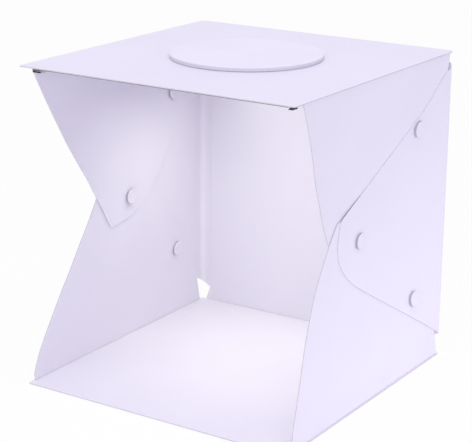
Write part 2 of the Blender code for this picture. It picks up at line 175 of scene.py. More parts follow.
def sheet_finish(name, creases, behind=None):
    """Satin sheet, whitened and slightly sunk along its creases, or only behind a depth."""
    made = Finish(name)
    grain = made.noise(GRAIN_SCALE)
    cloud = made.noise(CLOUD_SCALE, 3.0)
    drawn = made.noise(1.0, 3.0, made.stretched(DRAW_LINE_STRETCH))
    worn = 0
    for axis, at in creases:
        near = 1 - abs(made.across[axis] - at).rise(0.0, CREASE_HALF_WIDTH)
        worn = near + worn
    if behind is not None:
        worn = worn * made.across[1].rise(behind, behind + CREASE_HALF_WIDTH)
    body = made.mix(SHEET_SHADE, SHEET_WHITE, cloud.rise(0.3, 0.7))
    made.colour(made.mix(body, STRESS_WHITE, worn * CREASE_WHITENING) if creases else body)
    made.rough(grain * 0.10 + drawn * 0.06 + SHEET_ROUGHNESS)
    height = grain * 0.35 + drawn * 0.12
    made.bump(height - worn * CREASE_SINK if creases else height, SHEET_BUMP_DEPTH)
    return made.material


# The sheet's cut rims get a darker colour than its faces: painted shade, for the little light that
# falls on them.
shaded_cut_edge = Finish("die-cut sheet edge, painted shade")
edge_shade_cloud = shaded_cut_edge.noise(900, 2.0)
shaded_cut_edge.colour(shaded_cut_edge.mix(EDGE_SHADE_DARK, EDGE_SHADE_PALE, edge_shade_cloud.rise(0.3, 0.7)))
shaded_cut_edge.rough(edge_shade_cloud * 0.15 + 0.5)


def piece(name, bm, finish, body, stands_for=(), smooth_below=20, edge=None):
    """Turn a mesh into a finished piece that rides on a body of the tent."""
    if edge is None:
        for face in bm.faces:
            face.material_index = 0
    mesh = bpy.data.meshes.new(name)
    bm.to_mesh(mesh)
    bm.free()
    mesh.shade_smooth()
    mesh.set_sharp_from_angle(angle=math.radians(smooth_below))
    made = bpy.data.objects.new(name, mesh)
    bpy.context.collection.objects.link(made)
    settle(made, finish, body, stands_for)
    if edge is not None:
        made.data.materials.append(edge.material)
    return made


def settle(made, finish, body, stands_for=()):
    """Give a made object its finish and say what it rides on, if anything, and stands for."""
    if finish.name not in made.data.materials:
        made.data.materials.append(finish)
    if body:
        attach(made, body)
    if stands_for:
        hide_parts(*stands_for)
    return made


def arc_corners(points, radius, steps=8):
    """A closed outline in which every corner is an arc; a corner may bring its own radius."""
    outline = []
    for i, corner in enumerate(points):
        here = Vector(corner[:2])
        before = Vector(points[i - 1][:2]) - here
        after = Vector(points[(i + 1) % len(points)][:2]) - here
        half = before.angle(after) / 2
        wanted = corner[2] if len(corner) > 2 else radius
        reach = min(wanted / math.tan(half), before.length * 0.48, after.length * 0.48)
        size = reach * math.tan(half)
        towards = (before.normalized() + after.normalized()).normalized()
        centre = here + towards * (size / math.sin(half))
        spoke = here + before.normalized() * reach - centre
        turn = spoke.angle_signed(here + after.normalized() * reach - centre)
        for k in range(steps + 1):
            turned_spoke = spoke.copy()
            turned_spoke.rotate(Matrix.Rotation(-turn * k / steps, 2))
            outline.append(centre + turned_spoke)
    return outline


def flat_plate(outline, low, high, rounding, hole=None):
    """A plate between two heights, with rounded rims; a hole is a second outline."""
    bm = bmesh.new()
    steps = [(low, rounding), (low + rounding * 0.3, rounding * 0.3), (low + rounding, 0),
             (high - rounding, 0), (high - rounding * 0.3, rounding * 0.3), (high, rounding)]
    rims = []
    for ring, sign in ((outline, -1), (hole, 1)):
        if ring is None:
            continue
        count = len(ring)
        away = []
        for i in range(count):
            along = (ring[(i + 1) % count] - ring[i - 1]).normalized()
            away.append(Vector((along.y, -along.x)))
        area = sum(ring[i - 1].cross(ring[i]) for i in range(count))
        flip = 1 if area > 0 else -1
        rows = []
        for z, inset in steps:
            row = []
            for p, out in zip(ring, away):
                moved = p + out * (flip * sign * inset)
                row.append(bm.verts.new((moved.x, moved.y, z)))
            rows.append(row)
        for a, b in zip(rows, rows[1:]):
            for i in range(count):
                n = (i + 1) % count
                bm.faces.new([a[i], a[n], b[n], b[i]]).material_index = 1
        rims.append(rows)
    for row in (0, -1):
        if hole is None:
            bm.faces.new(rims[0][row])
        else:
            edges = []
            for rows in rims:
                ring = rows[row]
                for i in range(len(ring)):
                    edges.append(bm.edges.get((ring[i - 1], ring[i])))
            bmesh.ops.triangle_fill(bm, use_beauty=True, use_dissolve=False, edges=edges)
    bmesh.ops.recalc_face_normals(bm, faces=bm.faces)
    return bm


table_outline = arc_corners([
    (-HALF_WIDTH, -HALF_DEPTH, FRONT_CORNER_RADIUS),
    (HALF_WIDTH, -HALF_DEPTH, FRONT_CORNER_RADIUS),
    (HALF_WIDTH, HALF_DEPTH, REAR_BEND_RADIUS),
    (-HALF_WIDTH, HALF_DEPTH, REAR_BEND_RADIUS),
], REAR_BEND_RADIUS)
FLAP_CREASE_X = 0.1115
BACK_CREASE_Y = 0.1143
panel_creases = [(0, FLAP_CREASE_X), (0, -FLAP_CREASE_X), (1, BACK_CREASE_Y)]
floor_finish = sheet_finish("satin white sheet, floor", panel_creases)
piece("floor_sheet", flat_plate(table_outline, 0, SHEET_THICKNESS, SHEET_EDGE_ROUNDING),
      floor_finish, "floor", ["floor_panel"], edge=shaded_cut_edge)


# Back: the same sheet, folded up from the floor. It is notched at its corners,
# where the creases meet, and an upright crease near each side starts a rear flap
# that bends round the corner.
ROOF_UNDERSIDE = TENT_HEIGHT - SHEET_THICKNESS
BACK_FOOT = SHEET_THICKNESS + SHEET_GAP
BACK_HEAD = ROOF_UNDERSIDE - SHEET_GAP
NOTCH_FOOT = 0.012
NOTCH_HEAD = 0.234
REAR_CREASE_X = 0.104
EAR_X = HALF_WIDTH - REAR_BEND_RADIUS

back_outline = arc_corners([
    (-EAR_X, BACK_FOOT, 0.0003), (EAR_X, BACK_FOOT, 0.0003),
    (REAR_CREASE_X, NOTCH_FOOT, 0.002), (REAR_CREASE_X, NOTCH_HEAD, 0.002),
    (EAR_X, BACK_HEAD, 0.0003), (-EAR_X, BACK_HEAD, 0.0003),
    (-REAR_CREASE_X, NOTCH_HEAD, 0.002), (-REAR_CREASE_X, NOTCH_FOOT, 0.002),
], 0.002, 4)
back_mesh = flat_plate(back_outline, -HALF_DEPTH, -HALF_DEPTH + SHEET_THICKNESS,
                       SHEET_EDGE_ROUNDING)
bmesh.ops.transform(back_mesh, matrix=Matrix.Rotation(math.pi / 2, 4, "X"), verts=back_mesh.verts)
rear_creases = [(0, REAR_CREASE_X), (0, -REAR_CREASE_X)]
back_finish = sheet_finish("satin white sheet, back",
                           [(2, BACK_FOOT), (2, BACK_HEAD), *rear_creases])
piece("back_sheet", back_mesh, back_finish, "back", ["back_panel"], edge=shaded_cut_edge)


# Roof: the same sheet, folded forward from the back. A round hole in its middle
# lets a camera look straight down on what stands inside.
OPENING_RADIUS = 0.050
OPENING_CENTRE = (0.0, 0.005)
OPENING_SIDES = 128

opening_outline = []
for k in range(OPENING_SIDES):
    angle = 2 * math.pi * k / OPENING_SIDES
    opening_outline.append(Vector((OPENING_CENTRE[0] + OPENING_RADIUS * math.cos(angle),
                                   OPENING_CENTRE[1] + OPENING_RADIUS * math.sin(angle))))
roof_finish = sheet_finish("satin white sheet, roof", panel_creases)
piece("roof_sheet",
      flat_plate(table_outline, ROOF_UNDERSIDE, TENT_HEIGHT, SHEET_EDGE_ROUNDING, opening_outline),
      roof_finish, "roof", ["roof_panel"], edge=shaded_cut_edge)


# Opening cover: a round moulded lid, 112 mm across and 3 mm thick. A rim under it
# drops into the camera opening, and its top has a fine texture.
COVER_RADIUS = 0.056
COVER_BASE = TENT_HEIGHT + SHEET_GAP
COVER_TOP = COVER_BASE + 0.003
COVER_ROUNDING = 0.0008
COVER_FOOT_ROUNDING = 0.0003
COVER_FLAT_RADIUS = 0.0515
COVER_RIM_OUTER = 0.0495
COVER_RIM_INNER = 0.0483
COVER_RIM_FOOT = COVER_BASE - 0.0033
COVER_SIDES = 160
COVER_WHITE = (0.84, 0.82, 0.915)
COVER_SHADE = (0.81, 0.79, 0.885)
# Side wall colour of the lid: painted shade.
COVER_SIDE_SHADE = (0.70, 0.68, 0.74)


def turned(profile, sides, centre=(0, 0, 0)):
    """A closed round form from radii and heights, outer side first, on an upright axis."""
    bm = bmesh.new()
    rows = []
    for radius, z in profile:
        if radius == 0:
            rows.append([bm.verts.new((centre[0], centre[1], centre[2] + z))])
            continue
        row = []
        for k in range(sides):
            angle = 2 * math.pi * k / sides
            row.append(bm.verts.new((centre[0] + radius * math.cos(angle),
                                     centre[1] + radius * math.sin(angle), centre[2] + z)))
        rows.append(row)
    for a, b in zip(rows, rows[1:]):
        for k in range(sides):
            n = (k + 1) % sides
            corners = [a[k % len(a)], a[n % len(a)], b[n % len(b)], b[k % len(b)]]
            bm.faces.new(dict.fromkeys(corners))
    bmesh.ops.recalc_face_normals(bm, faces=bm.faces)
    return bm


def quarter(radius, z, size, first, last, steps=5):
    """Points of a rounded edge whose centre is at a radius and a height."""
    points = []
    for k in range(steps + 1):
        angle = math.radians(first + (last - first) * k / steps)
        points.append((radius + size * math.cos(angle), z + size * math.sin(angle)))
    return points


cover_profile = [(0, COVER_TOP), (COVER_FLAT_RADIUS, COVER_TOP)]
cover_profile += quarter(COVER_RADIUS - COVER_ROUNDING, COVER_TOP - COVER_ROUNDING,
                         COVER_ROUNDING, 90, 0)
cover_profile += quarter(COVER_RADIUS - COVER_FOOT_ROUNDING, COVER_BASE + COVER_FOOT_ROUNDING,
                         COVER_FOOT_ROUNDING, 0, -90, 3)
cover_profile += [(COVER_RIM_OUTER, COVER_BASE)]
for corner_radius, first in ((COVER_RIM_OUTER - COVER_FOOT_ROUNDING, 0),
                             (COVER_RIM_INNER + COVER_FOOT_ROUNDING, 270)):
    cover_profile += quarter(corner_radius, COVER_RIM_FOOT + COVER_FOOT_ROUNDING,
                             COVER_FOOT_ROUNDING, first, first - 90, 3)
cover_profile += [(COVER_RIM_INNER, COVER_BASE), (0, COVER_BASE)]

cover_look = Finish("moulded white lid")
cover_grain = cover_look.noise(2200)
cover_cloud = cover_look.noise(16, 3.0)
cover_body = cover_look.mix(COVER_SHADE, COVER_WHITE, cover_cloud.rise(0.3, 0.7))
# The lid's side wall, between its foot and its top rounding, is painted darker: painted shade on
# the wall that faces sideways.
cover_above = cover_look.across[2].rise(COVER_TOP - COVER_ROUNDING, COVER_TOP - 0.0002)
cover_wall_shade = cover_look.across[2].rise(COVER_BASE + 0.0001, COVER_BASE + 0.0003) * (1 - cover_above)
cover_look.colour(cover_look.mix(cover_body, COVER_SIDE_SHADE, cover_wall_shade))
cover_look.rough(cover_grain * 0.12 + 0.33)
cover_look.bump(cover_grain * 0.5, 0.0001)
piece("round_cover", turned(cover_profile, COVER_SIDES, (*OPENING_CENTRE, 0)),
      cover_look.material, "cover", ["opening_cover"], 30)


# Side flaps: three to a side, cut with the rest of the sheet. One hangs from the
# roof, one stands on the floor and one swings from the back and bends round the
# corner. Set up, they lie on each other and belly inwards, the rear one outermost.
BEND_END_Y = HALF_DEPTH - REAR_BEND_RADIUS
BEND_LENGTH = math.pi / 2 * REAR_BEND_RADIUS
BEND_STEPS = 10
GUSSET_CREASE = BEND_END_Y + BEND_LENGTH + EAR_X - REAR_CREASE_X - SHEET_GAP
SIDE_BOW = 0.011
BOW_RISE = 0.100
BOW_POWER = 1.8
FLAP_SETBACK = 0.012
FLOOR_FLAP_SETBACK = 0.0075
FLAP_REAR_Y = BEND_END_Y - 2 * SHEET_GAP
FLAP_CORNER_RADIUS = 0.006
FLAP_SWEEP_RADIUS = 0.120
GENTLE_CORNER = math.radians(132)
FLAP_CELL = 0.005
LAYER_GAP = 0.0001
LAYER = SHEET_THICKNESS + LAYER_GAP
LAID_LOW = 0.142
LAID_HIGH = 0.160
# A flap's corners, as shares of the tent's depth and height.
UPPER_FLAP_SHARES = [(0.183, 0.262), (0.309, 0.470), (0.378, 0.575), (0.540, 0.550),
                     (0.840, 0.270), (0.950, 0.110)]
LOWER_FLAP_SHARES = [(0.026, 0.020), (0.050, 0.088), (0.104, 0.196), (0.139, 0.265), (0.217, 0.400),
                     (0.346, 0.588), (0.540, 0.565), (0.840, 0.280), (0.950, 0.110)]
GUSSET_SHARES = [(0.926, 0.923), (0.809, 0.838), (0.543, 0.684), (0.360, 0.592), (0.345, 0.478),
                 (0.420, 0.391)]


def bow(y, z):
    """How far a side stands in from its upright plane at a depth and a height."""
    up = min(max(z / TENT_HEIGHT, 0), 1)
    rise = math.sin(math.pi / 2 * min(max(BEND_END_Y - y, 0) / BOW_RISE, 1))
    return SIDE_BOW * math.sin(math.pi * up) ** BOW_POWER * rise


def layers_in(layer, z):
    """How many layers lie outside a flap: the roof's flap closes up above the floor's."""
    up = min(max((z - LAID_LOW) / (LAID_HIGH - LAID_LOW), 0), 1)
    return layer - up * up * (3 - 2 * up) if layer == 2 else layer


def swept(corners):
    """A flap's outline: long arcs where its edge turns little, small ones elsewhere."""
    marked = []
    for i, corner in enumerate(corners):
        here = Vector(corner[:2])
        opening = (Vector(corners[i - 1][:2]) - here).angle(
            Vector(corners[(i + 1) % len(corners)][:2]) - here)
        by_turn = FLAP_SWEEP_RADIUS if opening > GENTLE_CORNER else FLAP_CORNER_RADIUS
        own = corner[2] if len(corner) > 2 else by_turn
        marked.append((*corner[:2], own))
    return arc_corners(marked, FLAP_CORNER_RADIUS, 10)


def wrapped(y, z, layer, depth):
    """A flap's point in plan: bowed along the side, then round the rear bend."""
    if y <= BEND_END_Y:
        return HALF_WIDTH - layers_in(layer, z) * LAYER - bow(y, z) - depth, y
    angle = min((y - BEND_END_Y) / REAR_BEND_RADIUS, math.pi / 2)
    straight = max(y - BEND_END_Y - BEND_LENGTH, 0)
    radius = REAR_BEND_RADIUS - depth
    return EAR_X + radius * math.cos(angle) - straight, BEND_END_Y + radius * math.sin(angle)


def bowed_sheet(outline, side, layer):
    """A side flap: an unrolled outline, cut into cells, bowed, bent and thickened."""
    bm = bmesh.new()
    bm.faces.new([bm.verts.new((0, p.x, p.y)) for p in outline])
    for axis in (1, 2):
        values = [p[axis - 1] for p in outline]
        cells = max(2, round((max(values) - min(values)) / FLAP_CELL))
        normal = Vector((0, axis == 1, axis == 2))
        cuts = [min(values) + (max(values) - min(values)) * k / cells for k in range(1, cells)]
        if axis == 1 and max(values) > BEND_END_Y:
            cuts = [at for at in cuts if at < BEND_END_Y - FLAP_CELL / 4]
            cuts += [BEND_END_Y + BEND_LENGTH * k / BEND_STEPS for k in range(BEND_STEPS + 1)]
        for at in cuts:
            bmesh.ops.bisect_plane(bm, geom=bm.verts[:] + bm.edges[:] + bm.faces[:],
                                   plane_co=normal * at, plane_no=normal, dist=1e-6)
    skin = bm.faces[:]
    rim = [e for e in bm.edges if len(e.link_faces) == 1]
    twin = {}
    for v in bm.verts[:]:
        inner_x, inner_y = wrapped(v.co.y, v.co.z, layer, SHEET_THICKNESS)
        outer_x, outer_y = wrapped(v.co.y, v.co.z, layer, 0)
        twin[v] = bm.verts.new((side * inner_x, inner_y, v.co.z))
        v.co = (side * outer_x, outer_y, v.co.z)
    for f in skin:
        bm.faces.new([twin[v] for v in reversed(f.verts)])
    for e in rim:
        a, b = e.verts
        bm.faces.new([a, b, twin[b], twin[a]]).material_index = 1
    bmesh.ops.recalc_face_normals(bm, faces=bm.faces)
    return bm


def hanging(shares, hinge_z, sign, setback):
    """A roof or floor flap's outline from the height of its crease."""
    corners = [(-HALF_DEPTH + setback, hinge_z, SHEET_GAP)]
    for along, reach in shares:
        corners.append((-HALF_DEPTH + along * TENT_DEPTH, hinge_z + sign * reach * TENT_HEIGHT))
    corners.append((FLAP_REAR_Y, hinge_z, SHEET_GAP))
    return swept(corners)


gusset_corners = [(GUSSET_CREASE, NOTCH_HEAD, SHEET_GAP)]
gusset_corners += [(-HALF_DEPTH + a * TENT_DEPTH, u * TENT_HEIGHT) for a, u in GUSSET_SHARES]
gusset_corners += [(GUSSET_CREASE, NOTCH_FOOT, SHEET_GAP)]
upper_finish = sheet_finish("satin white sheet, upper flaps", [(2, BACK_HEAD)])
lower_finish = sheet_finish("satin white sheet, lower flaps", [(2, BACK_FOOT)])
gusset_finish = sheet_finish("satin white sheet, rear flaps", rear_creases, BEND_END_Y)
for side, label in ((-1, "left"), (1, "right")):
    piece(f"upper_side_{label}",
          bowed_sheet(hanging(UPPER_FLAP_SHARES, BACK_HEAD, -1, FLAP_SETBACK), side, 2),
          upper_finish, f"upper_flap_{label}", [f"upper_flap_{label}"], edge=shaded_cut_edge)
    piece(f"lower_side_{label}",
          bowed_sheet(hanging(LOWER_FLAP_SHARES, BACK_FOOT, 1, FLOOR_FLAP_SETBACK), side, 1),
          lower_finish, f"lower_flap_{label}", [f"lower_flap_{label}"], edge=shaded_cut_edge)
    piece(f"rear_side_{label}",
          bowed_sheet(swept(gusset_corners), side, 0),
          gusset_finish, f"gusset_{label}", [f"rear_gusset_{label}"])


# Creases: where two panels meet, the sheet is scored to half its thickness, and the
# thin web that is left bends as a hinge. It runs a little way into both panels.
WEB_THICKNESS = 0.0004
WEB_HOLD = 0.0003
WEB_END = 0.002
WEB_ROUNDING = 0.00005
SHEET_MIDDLE_Y = HALF_DEPTH - SHEET_THICKNESS / 2


def block(size, rounding, segments=2):
    """A small block with rounded edges, its middle at the origin."""
    bm = bmesh.new()
    bmesh.ops.create_cube(bm, size=1)
    bmesh.ops.scale(bm, verts=bm.verts, vec=size)
    bmesh.ops.bevel(bm, geom=bm.edges[:], offset=rounding, segments=segments, profile=0.5,
                    affect="EDGES")
    return bm


def moved(bm, offset):
    """The same mesh, shifted by an offset."""
    bmesh.ops.translate(bm, verts=bm.verts, vec=offset)
    return bm


web_finish = sheet_finish("satin white sheet, creases", [])
foot_front_y = -HALF_DEPTH + FLOOR_FLAP_SETBACK + WEB_END
head_front_y = -HALF_DEPTH + FLAP_SETBACK + WEB_END
flap_end_y = FLAP_REAR_Y - WEB_END
back_run = 2 * (EAR_X - WEB_END)
webs = [("floor_to_back", "floor", "back", 2, (0, SHEET_MIDDLE_Y, SHEET_THICKNESS), back_run, 0),
        ("roof_to_back", "back", "roof", 2, (0, SHEET_MIDDLE_Y, BACK_HEAD), back_run, 0)]
for side, label in ((-1, "left"), (1, "right")):
    floor_x = side * (HALF_WIDTH - LAYER - SHEET_THICKNESS / 2)
    roof_x = side * (HALF_WIDTH - layers_in(2, BACK_HEAD) * LAYER - SHEET_THICKNESS / 2)
    webs += [
        (f"floor_to_flap_{label}", "floor", f"lower_flap_{label}", 2,
         (floor_x, (foot_front_y + flap_end_y) / 2, SHEET_THICKNESS), flap_end_y - foot_front_y, 1),
        (f"roof_to_flap_{label}", f"upper_flap_{label}", "roof", 2,
         (roof_x, (head_front_y + flap_end_y) / 2, BACK_HEAD), flap_end_y - head_front_y, 1),
        (f"back_to_flap_{label}", "back", f"gusset_{label}", 0,
         (side * REAR_CREASE_X, SHEET_MIDDLE_Y, (NOTCH_FOOT + NOTCH_HEAD) / 2),
         NOTCH_HEAD - NOTCH_FOOT - 2 * WEB_END, 2),
    ]
for name, before, after, across, start, length, along in webs:
    step = math.copysign(SHEET_GAP, start[0]) if across == 0 else SHEET_GAP
    end = [value + step * (axis == across) for axis, value in enumerate(start)]
    size = [WEB_THICKNESS] * 3
    size[across] = SHEET_GAP + 2 * WEB_HOLD
    size[along] = length
    middle = [(s + e) / 2 for s, e in zip(start, end)]
    web = piece(f"crease_{name}", moved(block(size, WEB_ROUNDING), middle), web_finish, None)
    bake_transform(web)


# Buttons: round white caps, 12 mm across, bonded to the flaps in pairs that face
# each other through the layers. A thin magnet in each cap holds the side shut.
BUTTON_RADIUS = 0.006
BUTTON_HEIGHT = 0.002
BUTTON_ROUNDING = 0.0006
BUTTON_FOOT_ROUNDING = 0.0002
BUTTON_DISH_RADIUS = 0.0038
BUTTON_DISH_DEPTH = 0.00015
BUTTON_RING_RADIUS = 0.0046
BUTTON_SIDES = 64
SLOPE_STEP = 0.004
BUTTON_PLACES = {"upper": (0.785, 0.791), "front": (0.483, 0.504), "lower": (0.804, 0.240)}
BUTTON_WHITE = (0.81, 0.79, 0.88)
BUTTON_SHADE = (0.76, 0.742, 0.815)
# Side wall colour of the caps: painted shade.
BUTTON_SIDE_SHADE = (0.46, 0.45, 0.51)
MAGNET_POCKET_RADIUS = 0.0043
MAGNET_POCKET_DEPTH = 0.0013
MAGNET_RADIUS = 0.004
MAGNET_THICKNESS = 0.001
MAGNET_ROUNDING = 0.0002


class Graph:
    """A Geometry Nodes tree in the making, with named inputs for its sizes."""

    def __init__(self, name, inputs):
        self.tree = bpy.data.node_groups.new(name, "GeometryNodeTree")
        face = self.tree.interface
        face.new_socket("Geometry", in_out="INPUT", socket_type="NodeSocketGeometry")
        self.keys = {}
        for label, kind in inputs:
            made = face.new_socket(label, in_out="INPUT", socket_type=f"NodeSocket{kind}")
            self.keys[label] = made.identifier
        face.new_socket("Geometry", in_out="OUTPUT", socket_type="NodeSocketGeometry")
        self.given = self.tree.nodes.new("NodeGroupInput").outputs
        self.result = self.tree.nodes.new("NodeGroupOutput").inputs[0]

    def node(self, kind, settings, values, output=0):
        """Add a node, set how it works, then set or link its sockets."""
        made = self.tree.nodes.new(kind)
        for name, setting in settings.items():
            setattr(made, name, setting)
        for name, value in values.items():
            if isinstance(value, bpy.types.NodeSocket):
                self.tree.links.new(value, made.inputs[name])
            else:
                made.inputs[name].default_value = value
        return made.outputs[output]

    def finish(self, instances):
        """Make the instances real and give them the tree's material."""
        real = self.node("GeometryNodeRealizeInstances", {}, {"Geometry": instances})
        dressed = self.node("GeometryNodeSetMaterial", {},
                            {"Geometry": real, "Material": self.given["Material"]})
        self.tree.links.new(dressed, self.result)

    def make(self, name, carrier_mesh, **sizes):
        """Run the tree on a mesh and return its result as a plain object."""
        carrier = bpy.data.objects.new(name, carrier_mesh)
        bpy.context.collection.objects.link(carrier)
        modifier = carrier.modifiers.new("tree", "NODES")
        modifier.node_group = self.tree
        for label, size in sizes.items():
            modifier[self.keys[label.replace("_", " ")]] = size
        bpy.context.view_layer.update()
        ready = carrier.evaluated_get(bpy.context.evaluated_depsgraph_get())
        mesh = bpy.data.meshes.new_from_object(ready)
        carrier.modifiers.clear()
        carrier.data = mesh
        return carrier


def pattern(name, bm):
    """An object that a tree copies; it is taken away once the copies are made."""
    mesh = bpy.data.meshes.new(name)
    bm.to_mesh(mesh)
    bm.free()
    mesh.shade_smooth()
    mesh.set_sharp_from_angle(angle=math.radians(35))
    made = bpy.data.objects.new(name, mesh)
    bpy.context.collection.objects.link(made)
    return made


def studded():
    """A tree that sets one copy of an object on every point, turned to face away."""
    graph = Graph("studs on points", [("Stud", "Object"), ("Material", "Material")])
    stud = graph.node("GeometryNodeObjectInfo", {"transform_space": "ORIGINAL"},
                      {"Object": graph.given["Stud"]}, "Geometry")
    facing = graph.node("GeometryNodeInputNamedAttribute", {"data_type": "FLOAT_VECTOR"},
                        {"Name": "facing"})
    turn = graph.node("FunctionNodeAlignRotationToVector", {"axis": "Z"}, {"Vector": facing})
    copies = graph.node("GeometryNodeInstanceOnPoints", {},
                        {"Points": graph.given["Geometry"], "Instance": stud, "Rotation": turn})
    graph.finish(copies)
    return graph


def button_seat(place, side, layer, outwards):
    """Where a button's foot stands on its flap, and the way it faces."""
    y = -HALF_DEPTH + place[0] * TENT_DEPTH
    z = place[1] * TENT_HEIGHT
    slope_y = (bow(y + SLOPE_STEP, z) - bow(y - SLOPE_STEP, z)) / (2 * SLOPE_STEP)
    slope_z = (bow(y, z + SLOPE_STEP) - bow(y, z - SLOPE_STEP)) / (2 * SLOPE_STEP)
    outer = HALF_WIDTH - layers_in(layer, z) * LAYER - bow(y, z)
    x = outer + SHEET_GAP if outwards else outer - SHEET_THICKNESS - SHEET_GAP
    away = Vector((side, slope_y, slope_z)).normalized()
    return Vector((side * x, y, z)), away if outwards else -away


dish_floor = BUTTON_HEIGHT - BUTTON_DISH_DEPTH
dish_slope = ((BUTTON_DISH_RADIUS + BUTTON_RING_RADIUS) / 2, dish_floor + BUTTON_DISH_DEPTH / 3)
button_profile = [(0, dish_floor), (BUTTON_DISH_RADIUS, dish_floor), dish_slope,
                  (BUTTON_RING_RADIUS, BUTTON_HEIGHT)]
button_profile += quarter(BUTTON_RADIUS - BUTTON_ROUNDING, BUTTON_HEIGHT - BUTTON_ROUNDING,
                          BUTTON_ROUNDING, 90, 0)
button_profile += quarter(BUTTON_RADIUS - BUTTON_FOOT_ROUNDING, BUTTON_FOOT_ROUNDING,
                          BUTTON_FOOT_ROUNDING, 0, -90, 3)
button_profile += [(MAGNET_POCKET_RADIUS, 0), (MAGNET_POCKET_RADIUS, MAGNET_POCKET_DEPTH),
                   (0, MAGNET_POCKET_DEPTH)]
button_pattern = pattern("button pattern", turned(button_profile, BUTTON_SIDES))

button_look = Finish("glossy white cap")
button_cloud = button_look.noise(420, 2.0)
button_body = button_look.mix(BUTTON_SHADE, BUTTON_WHITE, button_cloud.rise(0.2, 0.6))
# Wherever the cap's surface turns from facing straight out, it is painted darker: painted shade on
# its side wall.
button_normal = button_look.node("ShaderNodeTexCoord", {}, {}, "Normal")
button_face_unshaded = abs(button_look.node("ShaderNodeSeparateXYZ", {}, {"Vector": button_normal}))
button_look.colour(button_look.mix(BUTTON_SIDE_SHADE, button_body, button_face_unshaded.rise(0.05, 0.45)))
button_look.rough(button_look.noise(1800) * 0.14 + 0.24)
button_look.bump(button_look.noise(900) * 0.3, 0.0001)

magnet_look = Finish("nickel plate", metallic=1.0)
magnet_look.mottle((0.60, 0.58, 0.55), (0.70, 0.68, 0.65), 700)
magnet_look.rough(magnet_look.noise(1500) * 0.2 + 0.15)
magnet_profile = [(0, MAGNET_THICKNESS)]
magnet_profile += quarter(MAGNET_RADIUS - MAGNET_ROUNDING, MAGNET_THICKNESS - MAGNET_ROUNDING,
                          MAGNET_ROUNDING, 90, 0, 3)
magnet_profile += [(MAGNET_RADIUS, 0), (0, 0)]
magnet_pattern = pattern("magnet pattern", turned(magnet_profile, BUTTON_SIDES))

stud_tree = studded()
button_sets = []
for side, label in ((-1, "left"), (1, "right")):
    button_sets += [
        (f"gusset_{label}", "gusset", side, label, 0, True, ["upper", "front", "lower"]),
        (f"upper_flap_{label}", "flap", side, label, 2, False, ["upper", "front"]),
        (f"lower_flap_{label}", "flap", side, label, 1, False, ["lower"]),
    ]
for body, kind, side, label, layer, outwards, names in button_sets:
    seats = [button_seat(BUTTON_PLACES[n], side, layer, outwards) for n in names]
    points = bpy.data.meshes.new(f"{body} seats")
    points.from_pydata([s[0] for s in seats], [], [])
    facing = points.attributes.new("facing", "FLOAT_VECTOR", "POINT")
    for k, seat in enumerate(seats):
        facing.data[k].vector = seat[1]
    caps = [f"{kind}_button_{n}_{label}" for n in names]
    made = stud_tree.make(f"buttons_{body}", points, Stud=button_pattern,
                          Material=button_look.material)
    settle(made, button_look.material, body, caps)
    made = stud_tree.make(f"magnets_{body}", points, Stud=magnet_pattern,
                          Material=magnet_look.material)
    settle(made, magnet_look.material, body, [f"{cap}_magnet" for cap in caps])
bpy.data.objects.remove(button_pattern, do_unlink=True)
bpy.data.objects.remove(magnet_pattern, do_unlink=True)


# LED strip: a narrow white circuit board on foam tape, stuck under the roof just
# behind its front edge. LEDs stand in one row on it, with small resistors between.
board_low, board_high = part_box("led_board")
BOARD_THICKNESS = 0.001
LED_HEIGHT = 0.0008
LED_SHOWN_HEIGHT = LED_HEIGHT / 2
LED_COUNT = 22
TAPE_INSET = 0.0004
LED_LENGTH = 0.0035
LED_WIDTH = 0.0028
LED_ROUNDING = 0.00012
LED_RIM_WIDTH = 0.00035
LED_WINDOW_SLOPE = 0.00012
LED_WINDOW_DEPTH = 0.00015
PHOSPHOR_SIZE = (0.0026, 0.0019, 0.00016)
RESISTOR_SIZE = (0.0011, 0.0017, 0.0005)
SOLDER_SIZE = (0.0005, 0.0022, 0.0002)
STRIP_CORNER_RADIUS = 0.0006
board_foot = board_low[2] + LED_HEIGHT
board_length = board_high[0] - board_low[0]
board_middle = (board_low[1] + board_high[1]) / 2
led_pitch = board_length / (LED_COUNT + 0.5)
first_led = (board_low[0] + board_high[0]) / 2 - led_pitch * (LED_COUNT - 1) / 2


def row_tree():
    """A tree that lays copies of an object in a straight row with an even step."""
    graph = Graph("row of copies", [("Copied", "Object"), ("Count", "Int"), ("Start", "Vector"),
                                    ("Step", "Vector"), ("Material", "Material")])
    line = graph.node("GeometryNodeMeshLine", {"mode": "OFFSET"},
                      {"Count": graph.given["Count"], "Start Location": graph.given["Start"],
                       "Offset": graph.given["Step"]})
    copied = graph.node("GeometryNodeObjectInfo", {"transform_space": "ORIGINAL"},
                        {"Object": graph.given["Copied"]}, "Geometry")
    copies = graph.node("GeometryNodeInstanceOnPoints", {}, {"Points": line, "Instance": copied})
    graph.finish(copies)
    return graph


row = row_tree()


def in_row(name, shape, finish, body, count, start, step):
    """A row of one shape, as one piece."""
    copied = pattern(f"{name} pattern", shape)
    made = row.make(name, bpy.data.meshes.new(name), Copied=copied, Count=count,
                    Start=start, Step=step, Material=finish)
    bpy.data.objects.remove(copied, do_unlink=True)
    return settle(made, finish, body)


board_look = Finish("white solder mask")
board_look.mottle((0.76, 0.76, 0.74), (0.83, 0.83, 0.81), 260, 3.0)
board_look.rough(board_look.noise(1300) * 0.16 + 0.34)
board_look.bump(board_look.noise(1700) * 0.3, 0.0001)
